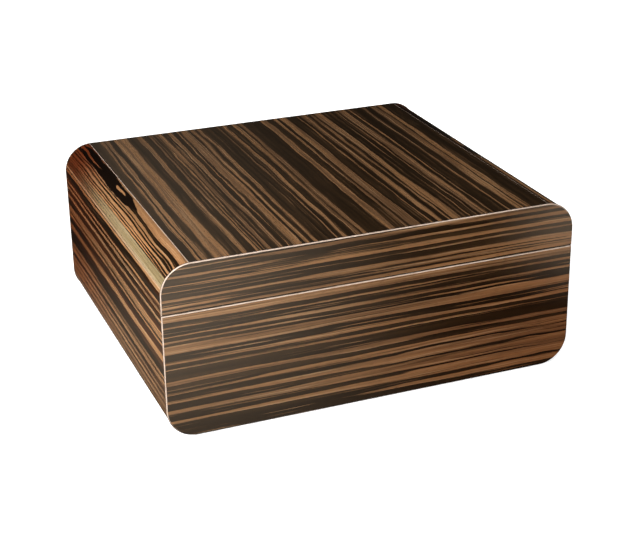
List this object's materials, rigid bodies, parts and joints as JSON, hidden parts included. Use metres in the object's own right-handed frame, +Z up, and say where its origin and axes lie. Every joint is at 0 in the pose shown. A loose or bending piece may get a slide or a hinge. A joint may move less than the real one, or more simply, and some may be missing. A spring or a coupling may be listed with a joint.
{
  "type": "humidor",
  "caption": "Desktop humidor box with rounded long edges, striped veneer, a hinged lid, cedar lining, a sliding tray, dividers, a humidifier and a hygrometer.",
  "frame": {"origin": "middle of the felt underside, below the middle of the wooden box", "axes": "+X to the right seen from the front, +Y to the back where the hinges are, +Z up"},
  "size_m": [0.3, 0.2626, 0.125],
  "materials": {
    "veneer": "striped ebony veneer, gloss lacquer",
    "corner_veneer": "figured ebony veneer, gloss lacquer",
    "core": "stained and lacquered rim",
    "cedar": "bare planed cedar",
    "felt": "pressed felt",
    "brass": "polished",
    "steel": "plain",
    "magnet": "plated",
    "black_plastic": "moulded",
    "foam": "open-cell foam",
    "dial": "matt paint",
    "needle": "black",
    "glass": "clear"
  },
  "bodies": {
    "base": {"base_felt": "felt", "base_floor_panel": "core", "base_left_side": "veneer", "base_right_side": "veneer", "base_left_corner": "corner_veneer", "base_right_corner": "corner_veneer", "base_front_board": "core", "base_back_board": "core", "base_front_sheet": "veneer", "base_back_sheet": "veneer", "base_floor_liner": "cedar", "base_front_liner": "cedar", "base_back_liner": "cedar", "base_left_liner": "cedar", "base_right_liner": "cedar", "front_tray_rail": "cedar", "back_tray_rail": "cedar", "left_base_leaf": "brass", "right_base_leaf": "brass", "hinge_pins": "steel", "base_leaf_screws": "brass"},
    "lid": {"lid_top_panel": "veneer", "lid_left_side": "veneer", "lid_right_side": "veneer", "lid_left_corner": "corner_veneer", "lid_right_corner": "corner_veneer", "lid_front_board": "core", "lid_back_board": "core", "lid_front_sheet": "veneer", "lid_back_sheet": "veneer", "lid_top_liner": "cedar", "lid_front_liner": "cedar", "lid_back_liner": "cedar", "lid_left_liner": "cedar", "lid_right_liner": "cedar", "left_lid_leaf": "brass", "right_lid_leaf": "brass", "lid_leaf_screws": "brass", "lid_plates": "steel", "device_magnets": "magnet", "humidifier_case": "black_plastic", "humidifier_foam": "foam", "humidifier_grille": "black_plastic", "hygrometer_case": "brass", "hygrometer_dial": "dial", "hygrometer_spindle": "steel", "hygrometer_glass": "glass", "hygrometer_bezel": "brass"},
    "stays": {"left_stay": "brass", "right_stay": "brass"},
    "shutter": {"humidifier_shutter": "black_plastic"},
    "needle": {"hygrometer_needle": "needle"},
    "tray": {"tray_front": "cedar", "tray_back": "cedar", "tray_left": "cedar", "tray_right": "cedar", "tray_floor": "cedar"},
    "tray_divider": {"tray_divider": "cedar"},
    "base_divider": {"base_divider": "cedar"}
  },
  "joints": [
    {"name": "lid_hinge", "type": "hinge", "parent": "base", "child": "lid", "pos_m": [0, 0.13, 0.091], "axis": [-1, 0, 0], "range_deg": [0, 95]},
    {"name": "stay_swing", "type": "hinge", "parent": "base", "child": "stays", "pos_m": [0, 0.13, 0.091], "axis": [-1, 0, 0], "range_deg": [0, 47.5]},
    {"name": "tray_slide", "type": "slide", "parent": "base", "child": "tray", "axis": [1, 0, 0], "range_m": [0, 0.1088]},
    {"name": "tray_divider_slide", "type": "slide", "parent": "tray", "child": "tray_divider", "axis": [1, 0, 0], "range_m": [-0.071, 0.071]},
    {"name": "base_divider_slide", "type": "slide", "parent": "base", "child": "base_divider", "axis": [1, 0, 0], "range_m": [-0.132, 0.132]},
    {"name": "shutter_slide", "type": "slide", "parent": "lid", "child": "shutter", "axis": [1, 0, 0], "range_m": [0, 0.006]},
    {"name": "needle_turn", "type": "hinge", "parent": "lid", "child": "needle", "pos_m": [0.07238, 0, 0.112], "axis": [0, 0, 1], "range_deg": [-120, 120]}
  ],
  "couplings": [
    {"joint": "stay_swing", "follows": "lid_hinge", "ratio": 0.5}
  ]
}
